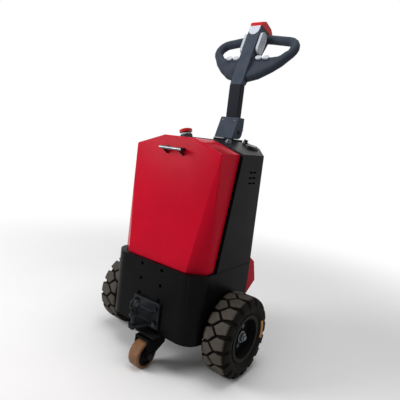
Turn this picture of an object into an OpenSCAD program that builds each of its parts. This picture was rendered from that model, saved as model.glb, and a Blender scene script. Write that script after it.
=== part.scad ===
// Pedestrian electric tow tractor: two drive wheels on a transaxle, one trailing caster under the
// coupling, a lift-off hood over the battery and a tilting tiller with a closed loop handle.
// Lengths are in millimetres. Lengths along Y are measured from the drive axle, with the coupling
// towards -Y and the operator towards +Y; the finished model is then centred on its own length.

/* [Drive wheels] */
// Radius of a drive tyre to the tips of its tread
tyre_r = 150; // [140:1:156]
// Width of a drive tyre
tyre_w = 110; // [90:1:112]
// Height of the tyre's section from its seat on the rim to the tips of its tread
tyre_section = 70; // [60:1:76]
// Number of tread blocks in each of the two rows round a tyre
block_count = 17; // [13:1:21]
// Depth of the grooves between the tread blocks
tread_depth = 9; // [4:0.5:11]
// Width of the grooves between the tread blocks
groove_w = 9; // [5:0.5:11]
// Gap between the side of the tub and the tyre
tyre_gap = 4; // [3:0.5:30]
// Height of the rim flange above the tyre seat
rim_flange = 7; // [4:0.5:9]
// Thickness of the rim barrel and disc
rim_t = 6; // [4:0.5:8]
// Depth of the rim disc below the outer face of the rim
dish_depth = 38; // [25:1:45]
// Radius of the axle shaft
shaft_r = 17.5; // [14:0.5:20]
// Gap between the hub flange and the inside of the rim barrel
hub_gap = 16; // [10:1:22]
// Number of wheel nuts on a wheel
nut_count = 5; // [4:1:6]

/* [Tub] */
// Width of the tub across its side walls
tub_w = 432; // [424:1:436]
// Distance from the axle to the front plate
tub_front = 192; // [188:1:210]
// Distance from the axle to the back wall of tub and tower
tub_rear = 150; // [142:1:158]
// Height of the underside of the tub
tub_floor_z = 126; // [124:1:132]
// Height of the rim of the tub
rim_z = 380; // [374:1:390]
// Radius of the two upright front corners
tub_corner_r = 70; // [60:1:76]
// Thickness of the tub's walls
tub_sheet = 5; // [4:0.5:6]
// Thickness of the tub's floor
floor_t = 6; // [5:0.5:8]
// Width of the ledge that is folded inwards along the rim
ledge_w = 36; // [32:1:42]
// Depth of the wheel recess in each side wall
well_depth = 24; // [16:1:30]
// Distance from the axle to the front edge of the wheel recess
well_front = 125; // [115:1:135]
// Height of the wheel recess above the tyre at its front edge
well_rise = 52; // [40:1:60]
// Height of the wheel recess above the tyre at the back wall
well_fall = 12; // [10:1:30]

/* [Hood] */
// Gap between the side of the hood and the side of the tub
hood_inset = 12; // [8:1:14]
// Distance from the front plate back to the foot of the hood
hood_setback = 16; // [12:1:20]
// How far the front of the hood leans back from its foot to its top corners
hood_lean = 48; // [30:1:60]
// Width of the corner facets at the foot, across the hood
facet_w = 59; // [45:1:65]
// Width of the corner facets at the foot, along the hood
facet_d = 44; // [34:1:48]
// Distance from the axle to the hood's back edge at its foot
split_foot = 87; // [80:1:95]
// Distance from the axle to the hood's back edge at its roof
split_roof = 1; // [-8:1:12]
// Thickness of the hood's skin
hood_sheet = 4; // [3:0.5:5]
// Length of the bar of the lifting handle
grip_len = 106; // [100:1:140]
// Radius of the bar of the lifting handle
grip_r = 6; // [5:0.5:8]
// Clear space for the fingers behind the bar
grip_reach = 26; // [26:1:40]

/* [Tower] */
// Height of the tower's side corners
corner_z = 812; // [790:1:830]
// Height of the flat top of the tower
roof_z = 855; // [845:1:870]
// Width of the flat top
roof_flat = 144; // [136:1:160]
// Step down from the tower's roof to the hood's roof
roof_step = 3; // [0:0.5:5]
// Distance from the axle to the tower's rearmost face
tower_rear = 262; // [258:1:275]
// Width of the tower's rearmost face
tower_rear_w = 260; // [240:1:280]
// Height where the tower starts to reach out behind the tub
shelf_z = 410; // [406:1:430]
// Thickness of the tower's sheet
tower_sheet = 4; // [3:0.5:5]
// Width of the lip that is folded inwards along the tower's front
lip_w = 30; // [24:1:36]
// Length of a vent slot
vent_len = 22; // [18:1:26]
// Height of a vent slot
vent_h = 7; // [5:0.5:9]

/* [Coupling] */
// Height of the middle of the coupling plate
plate_z = 192; // [188:1:200]
// Width of the coupling plate
plate_w = 132; // [124:1:140]
// Thickness of the coupling plate
plate_t = 10; // [8:1:12]
// Distance between neighbouring rows of bolt holes
row_pitch = 57; // [54:1:59]
// Height of the top row of bolt holes
top_row_z = 363; // [360:1:364]
// Distance between the two columns of bolt holes
column_pitch = 100; // [92:1:106]
// Radius of a bolt hole
bolt_hole_r = 6.75; // [6:0.25:7]
// Clear height between the two jaws
jaw_gap = 32; // [26:1:36]
// Thickness of a jaw
jaw_t = 10; // [8:1:12]
// Distance from the front plate to the axis of the tow pin
pin_reach = 69; // [64:1:80]
// Radius of the rounded jaw tips
jaw_tip_r = 17; // [15:1:22]
// Width of the jaws at the coupling plate
jaw_root_w = 74; // [60:1:76]
// Radius of the tow pin
tow_pin_r = 8; // [6:0.5:10]
// Radius of the ring on the tow pin, to the middle of its wire
ring_r = 20; // [16:1:24]

/* [Caster] */
// Distance of the caster to the right of the middle plane
caster_x = 28; // [0:1:34]
// Distance from the axle to the caster's swivel axis
caster_front = 179; // [176:1:184]
// Distance that the caster wheel trails its swivel axis
caster_trail = 45; // [40:1:48]
// Radius of the caster wheel
caster_r = 50; // [46:1:50]
// Width of the caster wheel
caster_w = 46; // [40:1:50]
// Thickness of the tread on the caster wheel
caster_tread_t = 10; // [7:0.5:12]
// Radius of the caster's swivel bearing
swivel_r = 34; // [30:1:38]
// Thickness of the fork's plates
fork_t = 5; // [4:0.5:6]

/* [Tiller] */
// Distance from the axle to the tiller's tilt axis
pivot_y = 213; // [205:1:222]
// Height of the tilt axis above the roof
pivot_rise = 40; // [39:1:46]
// Radius of the pivot pin
pivot_r = 8; // [6:0.5:9]
// Width of the pivot cover at its foot
cover_w = 92; // [84:1:96]
// Height of the pivot cover
cover_h = 92; // [86:1:104]
// Width of the tiller's tube
tube_w = 58; // [44:1:60]
// Depth of the tiller's tube
tube_d = 33; // [27:1:36]
// Height where the tube meets the head
neck_z = 1098; // [1070:1:1120]
// Angle by which the front of the head leans back
head_lean = 21.3; // [16:0.1:24]
// Length of the front of the head
head_len = 294; // [285:1:320]
// Width of the head
head_w = 60; // [56:1:64]
// Depth of the head at its top
head_d = 98; // [90:1:106]
// Angle by which the plane of the loop handle leans back
loop_lean = 33; // [28:0.5:36]
// Half width of the loop handle to the middle of its bar
loop_half = 192; // [180:1:210]
// Radius of the loop handle's bar
bar_r = 20; // [15:0.5:22]

/* [Hidden] */
$fn = 64;
reach = 2000;

// Clearances between bodies
running_gap = 0.05;
seat_gap = 0.3;
hood_gap = 3;
free_gap = 5;

// Stations shared by several pieces
axle_z = tyre_r;
rim_r = tyre_r - tyre_section;
tub_half = tub_w / 2;
wheel_x = tub_half + tyre_gap + tyre_w / 2;
well_half = tub_half - well_depth;
plate_face = -tub_front - plate_t;
pin_y = -tub_front - pin_reach;
caster_y = -caster_front - caster_trail;
pivot_z = roof_z + pivot_rise;
head_axis_y = pivot_y - 2;

// Extents along Y, from which the model is centred on its own length
y_low = min(pin_y - jaw_tip_r, caster_y - caster_r);
head_top = [head_axis_y + head_len * sin(head_lean), neck_z + head_len * cos(head_lean)];
cap_t = 28;
cap_back_y = head_top[0] + head_d + 12;
y_mid = (y_low + cap_back_y) / 2;

// Colours
black_paint = "#2b2d30";
red_paint = "#c8152d";
steel = "#9a9da1";
chrome = "#d5d7da";
rubber = "#4a4642";
moulding = "#4b5058";
pale_plastic = "#c9ccd0";
tread_brown = "#b0714a";

// Places a piece that is drawn from the drive axle
module placed() {
    translate([0, -y_mid, 0]) children();
}

// Half space on the side of point p that the normal n points to
module beyond(p, n) {
    translate(p)
        rotate([0, acos(n[2] / norm(n)), atan2(n[1], n[0])])
            translate([-reach, -reach, 0]) cube([2 * reach, 2 * reach, reach]);
}

// Prism of an outline in the YZ plane, w wide and centred on x
module side_prism(w, x = 0) {
    translate([x - w / 2, 0, 0]) rotate([90, 0, 90]) linear_extrude(w) children();
}

// Copies its children to both sides of the middle plane
module both_sides() {
    children();
    mirror([1, 0, 0]) children();
}

// Turns +Z to point out of the drive wheel on the given side, -1 left or 1 right
module at_wheel(side) {
    placed() translate([side * wheel_x, 0, axle_z]) rotate([0, side * 90, 0]) children();
}

// Tub

// Outline of the tub in plan, drawn in by the distance i
module tub_plan(i) {
    r = tub_corner_r;
    translate([-tub_half + i, -tub_front + r]) square([tub_w - 2 * i, tub_front + tub_rear - r - i]);
    translate([-tub_half + r, -tub_front + i]) square([tub_w - 2 * r, r]);
    for (side = [-1, 1]) translate([side * (tub_half - r), -tub_front + r]) circle(r - i);
}

// Space taken by the wheel recesses, grown by the distance g
module wheel_wells(g) {
    w = well_depth + g + 1;
    top = 2 * tyre_r + g;
    both_sides() side_prism(w, well_half - g + w / 2)
        polygon([[-well_front - g, 0], [tub_rear + 1, 0], [tub_rear + 1, top + well_fall],
                 [-well_front - g, top + well_rise]]);
}

// Places the bolt holes of the rows at the heights zs in the front plate
module at_rows(zs) {
    for (z = zs) for (side = [-1, 1])
        translate([side * column_pitch / 2, -tub_front, z]) rotate([-90, 0, 0]) children();
}

free_rows = [for (k = [0:2]) top_row_z - k * row_pitch];
plate_rows = [plate_z + row_pitch / 2, plate_z - row_pitch / 2];
notch_r = 46;
floor_gap_y = 72;

module tub_shell() {
    color(black_paint) placed() difference() {
        union() {
            difference() {
                translate([0, 0, tub_floor_z]) linear_extrude(rim_z - tub_floor_z) tub_plan(0);
                difference() {
                    translate([0, 0, tub_floor_z + floor_t])
                        linear_extrude(rim_z - tub_floor_z) tub_plan(tub_sheet);
                    wheel_wells(tub_sheet);
                }
                wheel_wells(0);
            }
            translate([0, 0, rim_z - tub_sheet]) linear_extrude(tub_sheet) difference() {
                tub_plan(tub_sheet / 2);
                tub_plan(ledge_w);
            }
        }
        // Opening for the transaxle in the floor and notches for its ends in the walls
        translate([-well_half + tub_sheet, -floor_gap_y, 0])
            cube([2 * (well_half - tub_sheet), 2 * floor_gap_y, tub_floor_z + floor_t + 1]);
        translate([-tub_half, 0, axle_z]) rotate([0, 90, 0]) cylinder(r = notch_r, h = tub_w);
        translate([-tub_half, -notch_r, 0]) cube([tub_w, 2 * notch_r, axle_z]);
        at_rows(concat(free_rows, plate_rows)) translate([0, 0, -1]) cylinder(r = bolt_hole_r, h = tub_sheet + 2);
    }
}

// Tower and hood

// Outline of the three-facet roof and the sides, drawn in by the distance i, from height z0 up
function roof_outline(half, low, top, flat, z0, i) =
    let (a = atan((top - low) / (half - flat)),
         rise = (top - i - low + i / cos(a)) / tan(a),
         edge = low + i * tan(a) - i / cos(a))
    [[-half + i, z0], [half - i, z0], [half - i, edge], [half - rise, top - i],
     [-half + rise, top - i], [-half + i, edge]];

// Plan of the tower's upper part with its chamfered rear, drawn in by the distance i
function tower_plan(i) =
    let (n = [tower_rear - tub_rear, tub_half - tower_rear_w / 2],
         c = n * [tub_half, tub_rear] / norm(n) - i,
         m = n / norm(n),
         y_side = (c - m[0] * (tub_half - i)) / m[1],
         x_back = (c - m[1] * (tower_rear - i)) / m[0])
    [[-tub_half + i, -reach / 4], [tub_half - i, -reach / 4], [tub_half - i, y_side],
     [x_back, tower_rear - i], [-x_back, tower_rear - i], [-tub_half + i, y_side]];

hood_foot = tub_front - hood_setback;
hood_half = tub_half - hood_inset;
hood_roof = roof_z - roof_step;
hood_corner = corner_z - roof_step;
split_rise = hood_roof - rim_z;
split_normal = [0, split_rise, -(split_foot + split_roof)] / norm([split_rise, split_foot + split_roof]);

// Solid inside the tower's outer faces, drawn in by the distance i, from the height bottom up
module tower_solid(i, bottom = rim_z) {
    intersection() {
        translate([0, tower_rear, 0]) rotate([90, 0, 0]) linear_extrude(reach)
            polygon(roof_outline(tub_half, corner_z, roof_z, roof_flat / 2, bottom, i));
        union() {
            translate([0, 0, shelf_z + i]) linear_extrude(reach) polygon(tower_plan(i));
            translate([-tub_half, -reach / 4, bottom])
                cube([tub_w, reach / 4 + tub_rear - i, reach]);
        }
    }
}

vent_rows = [0, 20.5, 41];
vent_first = [55, 746];
vent_pitch = 27;

// Slot with round ends, len long and h high
module slot(len, h) {
    square([len - h, h], center = true);
    for (side = [-1, 1]) translate([side * (len - h) / 2, 0]) circle(h / 2);
}

module tower_shell() {
    front = [0, -split_foot, rim_z] + hood_gap * split_normal;
    color(black_paint) placed() difference() {
        union() {
            difference() {
                tower_solid(0);
                tower_solid(tower_sheet, rim_z - 1);
            }
            difference() {
                tower_solid(tower_sheet / 2);
                tower_solid(lip_w, rim_z - 1);
                beyond(front + tower_sheet * split_normal, split_normal);
            }
        }
        beyond(front, -split_normal);
        for (down = vent_rows) for (k = [0, 1])
            side_prism(tub_w + 2)
                translate([vent_first[0] + vent_len / 2 + k * vent_pitch, vent_first[1] - down])
                    slot(vent_len, vent_h);
    }
}

// Solid inside the hood's outer faces, drawn in by the distance i
module hood_solid(i) {
    rise = hood_corner - rim_z;
    foot = [hood_half - facet_w, -hood_foot, rim_z];
    front_normal = [0, -rise, hood_lean] / norm([rise, hood_lean]);
    facet = cross([facet_w, facet_d, 0], [facet_w, hood_lean, rise]);
    facet_normal = facet / norm(facet);
    difference() {
        translate([0, reach / 4, 0]) rotate([90, 0, 0]) linear_extrude(reach)
            polygon(roof_outline(hood_half, hood_corner, hood_roof, roof_flat / 2,
                                 rim_z + seat_gap - (i > 0 ? 1 : 0), i));
        beyond(foot - i * front_normal, front_normal);
        both_sides() beyond(foot - i * facet_normal, facet_normal);
    }
}

module hood_shell() {
    color(red_paint) placed() difference() {
        hood_solid(0);
        hood_solid(hood_sheet);
        beyond([0, -split_foot, rim_z], split_normal);
    }
}

grip_z = hood_corner - 4;
grip_post_r = 7;
grip_inset = 15;
grip_y = -hood_foot + hood_lean * (grip_z - rim_z) / (hood_corner - rim_z) - grip_reach - grip_r;

module hood_grip() {
    color(chrome) placed() translate([-grip_len / 2, grip_y, grip_z])
        rotate([0, 90, 0]) cylinder(r = grip_r, h = grip_len);
}

module hood_grip_posts() {
    color(moulding) placed() difference() {
        for (side = [-1, 1])
            translate([side * (grip_len / 2 - grip_inset), grip_y, grip_z])
                rotate([-90, 0, 0]) cylinder(r = grip_post_r, h = grip_reach + 3 * grip_r);
        hood_solid(0);
        translate([-grip_len / 2, grip_y, grip_z]) rotate([0, 90, 0]) cylinder(r = grip_r, h = grip_len);
    }
}

// Cover behind the tub

cover_drop = 136;
cover_points = [[0, 24], [45, -6], [72, -90], [9, -cover_drop], [0, -cover_drop]];
cover_inset = 4;

// Outline of the rear cover in the YZ plane, drawn in by the distance i
module rear_outline(i) {
    k = (cover_points[2][0] - i) / cover_points[2][0];
    polygon([for (p = cover_points)
        [tub_rear + p[0] * k - (i > 0 ? 1 : 0), rim_z - 40 + (p[1] + 40) * k]]);
}

module rear_cover() {
    color(red_paint) placed() difference() {
        side_prism(tub_w - 2 * cover_inset) rear_outline(0);
        side_prism(tub_w - 2 * cover_inset - 8) rear_outline(4);
    }
}

// Drive train

case_w = 150;
case_d = 112;
case_top = 96;
case_below = 48;
tube_r = 40;
end_plate_t = 8;
end_plate_d = 120;
end_plate_h = 70;
shaft_depth = 100;
motor_r = 58;

module transaxle() {
    inner = well_half - tub_sheet;
    color(black_paint) placed() translate([0, 0, axle_z]) difference() {
        union() {
            translate([-case_w / 2, -case_d / 2, -case_below]) cube([case_w, case_d, case_below + case_top]);
            translate([-inner, 0, 0]) rotate([0, 90, 0]) cylinder(r = tube_r, h = 2 * inner);
            both_sides() translate([inner - end_plate_t, -end_plate_d / 2, tub_floor_z - axle_z])
                cube([end_plate_t, end_plate_d, end_plate_h + axle_z - tub_floor_z]);
        }
        both_sides() translate([inner - shaft_depth, 0, 0])
            rotate([0, 90, 0]) cylinder(r = shaft_r + running_gap, h = shaft_depth + 1);
    }
}

module drive_motor() {
    base = axle_z + case_top;
    color(black_paint) placed() translate([0, 0, base]) cylinder(r = motor_r, h = rim_z - 20 - base);
}

battery_w = 300;
battery_d = 88;
battery_h = 326;
battery_gap = 33;

module battery() {
    color(moulding) placed()
        translate([-battery_w / 2, -tub_front + tub_sheet + battery_gap, tub_floor_z + floor_t])
            cube([battery_w, battery_d, battery_h]);
}

// Drive wheels: profiles are pairs of radius and distance out from the tyre's mid plane

bead_half = tyre_w / 2 - 13;
rim_half = bead_half + 5;
disc_out = rim_half - dish_depth;
disc_in = disc_out - rim_t;
spigot_r = shaft_r + 5;
hub_t = 12;
hub_r = rim_r - rim_t - hub_gap;

zigzag = 10;
zigzag_lap = 3;
groove_slant = 16;
mouth_w = groove_w + 5;
notch_drop = tread_depth + 12;
notch_in = 9;

// Groove in the tread at the angle a round the tyre and u out from its mid plane, len long and
// turned by t from the way the tyre rolls
module groove(a, u, len, t, w0 = groove_w, w1 = groove_w) {
    rotate(a) translate([tyre_r - tread_depth, 0, u]) rotate([t, 0, 0]) side_prism(2 * tread_depth, tread_depth)
        polygon([[-len / 2, -w0 / 2], [len / 2, -w1 / 2], [len / 2, w1 / 2], [-len / 2, w0 / 2]]);
}

// Notch in the shoulder at the angle a, where a groove runs out over the side
module shoulder_notch(a, side) {
    rotate(a) translate([tyre_r - notch_drop, -mouth_w / 2, side * (tyre_w / 2 + 1) - (side > 0 ? notch_in : 0)])
        cube([2 * notch_drop, mouth_w, notch_in]);
}

// Zigzag groove round the middle of the tread, with a groove from each of its bends to the shoulder
module tread_grooves() {
    half_pitch = 180 / block_count;
    step = PI * tyre_r / block_count;
    leg = norm([step, 2 * zigzag]) + groove_w / 2;
    across = tyre_w / 2 - zigzag + zigzag_lap + 1;
    shift = across / 2 * tan(groove_slant) / (PI * tyre_r) * 180;
    for (k = [0:2 * block_count - 1]) {
        side = k % 2 == 0 ? 1 : -1;
        groove(k * half_pitch + side * shift, side * (zigzag - zigzag_lap + across / 2),
               across / cos(groove_slant), 90 - groove_slant,
               side > 0 ? groove_w : mouth_w, side > 0 ? mouth_w : groove_w);
        shoulder_notch(k * half_pitch + 2 * side * shift, side);
        groove((k + 0.5) * half_pitch, 0, leg, -side * atan(2 * zigzag / step));
    }
}

module tyre(side) {
    half = tyre_w / 2;
    edge = rim_r + rim_flange + 1;
    quarter = [[rim_r, bead_half], [edge, bead_half], [edge + 18, half - 1], [edge + 28, half],
               [tyre_r - 22, half - 1], [tyre_r - 9, half - 5], [tyre_r - 2.5, half - 13], [tyre_r, half - 25]];
    color(rubber) at_wheel(side) difference() {
        rotate_extrude()
            polygon(concat(quarter, [for (k = [len(quarter) - 1:-1:0]) [quarter[k][0], -quarter[k][1]]]));
        tread_grooves();
    }
}

module rim(side) {
    color(black_paint) at_wheel(side) rotate_extrude() {
        translate([rim_r - rim_t, -rim_half]) square([rim_t, 2 * rim_half]);
        for (u = [-rim_half, bead_half])
            translate([rim_r - rim_t, u]) square([rim_t + rim_flange, rim_half - bead_half]);
        translate([spigot_r, disc_in]) square([rim_r - rim_t / 2 - spigot_r, rim_t]);
    }
}

module hub(side) {
    shaft_len = wheel_x + disc_in - (well_half - tub_sheet - shaft_depth) - 3;
    color(steel) at_wheel(side) {
        translate([0, 0, disc_in - hub_t]) cylinder(r = hub_r, h = hub_t);
        translate([0, 0, disc_in - shaft_len]) cylinder(r = shaft_r, h = shaft_len);
        translate([0, 0, disc_in - 1]) cylinder(r = spigot_r, h = rim_t + 9);
        translate([0, 0, disc_in]) cylinder(r = spigot_r * 0.62, h = rim_t + 18);
    }
}

nut_r = 9.5;
nut_h = 9;
nut_gap = 6;
nut_circle_r = spigot_r + nut_gap + nut_r;

module wheel_nuts(side) {
    color(steel) at_wheel(side) for (k = [0:nut_count - 1])
        rotate(360 * k / nut_count) translate([nut_circle_r, 0, disc_out]) cylinder(r = nut_r, h = nut_h, $fn = 6);
}

// Coupling

jaw_mid = plate_z - 14;

module jaw() {
    difference() {
        union() {
            polygon([[-jaw_root_w / 2, plate_face], [jaw_root_w / 2, plate_face],
                     [jaw_tip_r, pin_y], [-jaw_tip_r, pin_y]]);
            translate([0, pin_y]) circle(jaw_tip_r);
        }
        translate([0, pin_y]) circle(tow_pin_r + seat_gap);
    }
}

plate_h = row_pitch + 40;

module coupling() {
    color(black_paint) placed() {
        difference() {
            translate([-plate_w / 2, plate_face, plate_z - plate_h / 2]) cube([plate_w, plate_t, plate_h]);
            at_rows(plate_rows) translate([0, 0, -plate_t - 1]) cylinder(r = bolt_hole_r, h = plate_t + 2);
        }
        for (z = [jaw_mid + jaw_gap / 2, jaw_mid - jaw_gap / 2 - jaw_t])
            translate([0, 0, z]) linear_extrude(jaw_t) jaw();
    }
}

bolt_head_r = 10;
bolt_head_h = 8;
bolt_gap = 0.75;
bolt_tail = 12;

module coupling_bolts() {
    color(steel) placed() at_rows(plate_rows) {
        translate([0, 0, -plate_t]) cylinder(r = bolt_hole_r - bolt_gap, h = plate_t + tub_sheet + bolt_tail);
        translate([0, 0, -plate_t - bolt_head_h]) cylinder(r = bolt_head_r, h = bolt_head_h, $fn = 6);
    }
}

pin_collar_r = 13;
pin_collar_h = 6;
pin_tail = 9;
ring_wire_r = 3.5;
jaw_top = jaw_mid + jaw_gap / 2 + jaw_t;
pin_len = jaw_gap + 2 * jaw_t + pin_tail;
eye_hole_r = ring_wire_r + tow_pin_r * tow_pin_r / (2 * ring_r) + 0.2;
pin_eye_h = 2 * (eye_hole_r + 3);

module tow_pin() {
    color(steel) placed() translate([0, pin_y, jaw_top + seat_gap]) difference() {
        union() {
            translate([0, 0, -pin_len]) cylinder(r = tow_pin_r, h = pin_len);
            cylinder(r = pin_collar_r, h = pin_collar_h);
            cylinder(r = tow_pin_r, h = pin_collar_h + pin_eye_h);
        }
        translate([0, 0, pin_collar_h + pin_eye_h / 2]) rotate([90, 0, 0])
            cylinder(r = eye_hole_r, h = 4 * tow_pin_r, center = true);
    }
}

module tow_pin_ring() {
    hole = jaw_top + seat_gap + pin_collar_h + pin_eye_h / 2;
    color(chrome) placed() translate([0, pin_y, hole + ring_r]) rotate([0, 90, 0]) rotate_extrude()
        translate([ring_r, 0]) circle(ring_wire_r);
}

// Caster

crown_z = 2 * caster_r + free_gap + 1;
crown_t = 8;
king_r = 8;
king_gap = 2;
caster_plate_t = 6;
race_z = crown_z + crown_t + seat_gap;

module at_swivel() {
    placed() translate([caster_x, -caster_front, 0]) children();
}

module caster_mount() {
    half = swivel_r + 13;
    plate = tub_floor_z - caster_plate_t;
    color(steel) at_swivel() difference() {
        union() {
            translate([-half, -half, plate]) cube([2 * half, 2 * half, caster_plate_t]);
            translate([0, 0, race_z]) cylinder(r = swivel_r, h = plate - race_z + 1);
        }
        translate([0, 0, race_z - 1]) cylinder(r = king_r + running_gap, h = reach);
    }
}

fork_half = caster_w / 2 + free_gap + fork_t;
axle_eye_r = 15;
axle_r = 7;

module caster_fork() {
    skirt = swivel_r + 2;
    front = -caster_trail - 12;
    color(black_paint) at_swivel() difference() {
        union() {
            translate([0, 0, crown_z]) cylinder(r = swivel_r, h = crown_t);
            translate([-fork_half, front, crown_z]) cube([2 * fork_half, skirt - front, crown_t]);
            translate([0, 0, crown_z]) cylinder(r = king_r, h = tub_floor_z - king_gap - crown_z);
            for (side = [-1, 1]) side_prism(fork_t, side * (fork_half - fork_t / 2)) {
                polygon([[front, crown_z + crown_t], [skirt, crown_z + crown_t], [skirt, crown_z - 26],
                         [-caster_trail + axle_eye_r, caster_r - 6], [-caster_trail - axle_eye_r, caster_r]]);
                translate([-caster_trail, caster_r]) circle(axle_eye_r);
            }
        }
        translate([-fork_half - 1, -caster_trail, caster_r]) rotate([0, 90, 0])
            cylinder(r = axle_r, h = 2 * fork_half + 2);
    }
}

module at_caster_wheel() {
    at_swivel() translate([0, -caster_trail, caster_r]) rotate([0, 90, 0]) children();
}

module caster_axle() {
    color(steel) at_caster_wheel() {
        cylinder(r = axle_r, h = 2 * fork_half, center = true);
        for (side = [-1, 1]) translate([0, 0, side * (fork_half + 3)])
            cylinder(r = 11, h = 6, center = true, $fn = 6);
    }
}

core_r = caster_r - caster_tread_t;
core_web_r = 18;

module caster_core() {
    half = caster_w / 2;
    color(black_paint) at_caster_wheel() rotate_extrude() difference() {
        translate([axle_r + running_gap, -half]) square([core_r - axle_r - running_gap, 2 * half]);
        for (u = [-half - 1, half - 9])
            translate([core_web_r, u]) square([core_r - 6 - core_web_r, 10]);
    }
}

module caster_tread() {
    half = caster_w / 2;
    round = caster_tread_t * 0.4;
    color(tread_brown) at_caster_wheel() rotate_extrude() {
        translate([core_r, -half]) square([caster_tread_t - round, 2 * half]);
        translate([core_r, -half + round]) square([caster_tread_t, 2 * (half - round)]);
        for (side = [-1, 1]) translate([caster_r - round, side * (half - round)]) circle(round);
    }
}

// Controls on the tower's roof

slope = atan((roof_z - corner_z) / (tub_half - roof_flat / 2));

// Places a piece on the sloped facet of the roof, x across the tower from the middle plane
module on_slope(x, y) {
    placed() translate([x, y, roof_z - (abs(x) - roof_flat / 2) * tan(slope)])
        rotate([0, sign(x) * slope, 0]) children();
}

estop_x = 112 - tub_half;
estop_y = 52;
estop_base_h = 16;
estop_base_r = 26;
collar_h = 6;
knob_h = 17;
knob_r = 27;
key_inset = 116;
gauge_inset = 76;
gland_inset = 128;

module estop_base() {
    color(black_paint) on_slope(estop_x, estop_y) cylinder(r = estop_base_r, h = estop_base_h);
}

module estop_collar() {
    color(pale_plastic) on_slope(estop_x, estop_y) translate([0, 0, estop_base_h])
        cylinder(r = estop_base_r - 4, h = collar_h);
}

module estop_knob() {
    color(red_paint) on_slope(estop_x, estop_y) translate([0, 0, estop_base_h + collar_h]) {
        cylinder(r = 15, h = 6);
        translate([0, 0, 5]) rotate_extrude() intersection() {
            translate([0, knob_h - 60]) circle(60);
            square([knob_r, knob_h]);
        }
    }
}

module key_switch() {
    color(steel) on_slope(tub_half - key_inset, 60) {
        cylinder(r = 13, h = 8);
        cylinder(r = 10, h = 14);
    }
}

module charge_gauge() {
    color(black_paint) on_slope(tub_half - gauge_inset, 176) {
        linear_extrude(8) rotate(90) slot(70, 44);
        linear_extrude(12) rotate(90) slot(58, 32);
    }
}

module cable_gland() {
    color(black_paint) on_slope(tub_half - gland_inset, 206) {
        cylinder(r = 11, h = 10, $fn = 6);
        cylinder(r = 9, h = 18);
    }
}

// Tiller

foot_t = 5;
lug_half = 15;
lug_r = 18;
foot_w = 100;
foot_front = 44;
foot_back = 34;
heel_r = pivot_rise - foot_t - free_gap - 1;
cover_low = pivot_z - heel_r;
cover_top = cover_low + cover_h;
cover_toe = 48;
cover_brow = 12;
cover_lap = 2;
cover_shoulder = 8;
cover_front_low = pivot_y - cover_toe;
cover_front_top = pivot_y - cover_brow;
tube_front = head_axis_y;
tube_back = tube_front + tube_d;

module tiller_mount() {
    color(steel) placed() difference() {
        union() {
            translate([-foot_w / 2, pivot_y - foot_front, roof_z]) cube([foot_w, foot_front + foot_back, foot_t]);
            side_prism(2 * lug_half) {
                translate([pivot_y, pivot_z]) circle(lug_r);
                translate([pivot_y - lug_r, roof_z]) square([2 * lug_r, pivot_rise]);
            }
        }
        translate([-lug_half - 1, pivot_y, pivot_z]) rotate([0, 90, 0])
            cylinder(r = pivot_r + running_gap, h = 2 * lug_half + 2);
    }
}

module pivot_pin() {
    half = cover_w / 2 + 3;
    color(steel) placed() translate([-half, pivot_y, pivot_z]) rotate([0, 90, 0]) cylinder(r = pivot_r, h = 2 * half);
}

module pivot_cover() {
    slot_half = lug_half + free_gap;
    slot_r = lug_r + free_gap;
    color(moulding) placed() difference() {
        side_prism(cover_w) {
            polygon([[cover_front_low, cover_low], [pivot_y, cover_low], [pivot_y + heel_r, pivot_z],
                     [tube_back + cover_lap, pivot_z + cover_shoulder], [tube_back + cover_lap, cover_top],
                     [cover_front_top, cover_top]]);
            translate([pivot_y, pivot_z]) circle(heel_r);
        }
        side_prism(2 * slot_half) {
            translate([pivot_y, pivot_z]) circle(slot_r);
            translate([pivot_y - slot_r, cover_low - 1]) square([3 * slot_r, pivot_z - cover_low + 1]);
            translate([pivot_y, pivot_z - 1]) square([2 * slot_r, slot_r + 1]);
        }
        translate([-cover_w, pivot_y, pivot_z]) rotate([0, 90, 0]) cylinder(r = pivot_r, h = 2 * cover_w);
    }
}

module tiller_tube() {
    color(moulding) placed() translate([-tube_w / 2, tube_front, cover_top])
        cube([tube_w, tube_d, neck_z - cover_top]);
}

head_back_low = [tube_back + 4, neck_z];
neck_taper = 24;
head_back_top = head_top + head_d * [cos(14), -sin(14)];
head_heel = head_back_top + [-14, -34];

// Block inside the head's outer faces, tapered in to the tube at its neck
module head_block() {
    intersection() {
        side_prism(head_w) polygon([[tube_front, neck_z], head_back_low, head_heel, head_back_top, head_top]);
        translate([0, tube_front + head_len, neck_z]) rotate([90, 0, 0]) linear_extrude(2 * head_len)
            polygon([[-tube_w / 2, 0], [tube_w / 2, 0], [head_w / 2, neck_taper], [head_w / 2, 2 * head_len],
                     [-head_w / 2, 2 * head_len], [-head_w / 2, neck_taper]]);
    }
}

module tiller_head() {
    color(moulding) placed() head_block();
}

module belly_switch() {
    color(red_paint) placed() side_prism(head_w) polygon([head_top, head_top + [5, 18], head_top + [38, cap_t],
        [cap_back_y - 20, head_top[1] + 9], [cap_back_y, head_top[1] - 16], head_back_top]);
}

plate_len = 44;
plate_thick = 3;

module head_plate() {
    half = head_w / 2 - 4;
    color(pale_plastic) placed() translate([0, head_top[0], head_top[1]]) rotate([-head_lean, 0, 0])
        rotate([90, 0, 0]) linear_extrude(plate_thick) {
            translate([-half, -plate_len + half]) square([2 * half, plate_len - half]);
            intersection() {
                translate([0, -plate_len + half]) circle(half);
                translate([-half, -plate_len]) square([2 * half, plate_len]);
            }
        }
}

paddle_len = 104;
paddle_d = 46;
paddle_t = 12;
paddle_gap = 4;
paddle_drop = 74;
paddle_back = 27;

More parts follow.
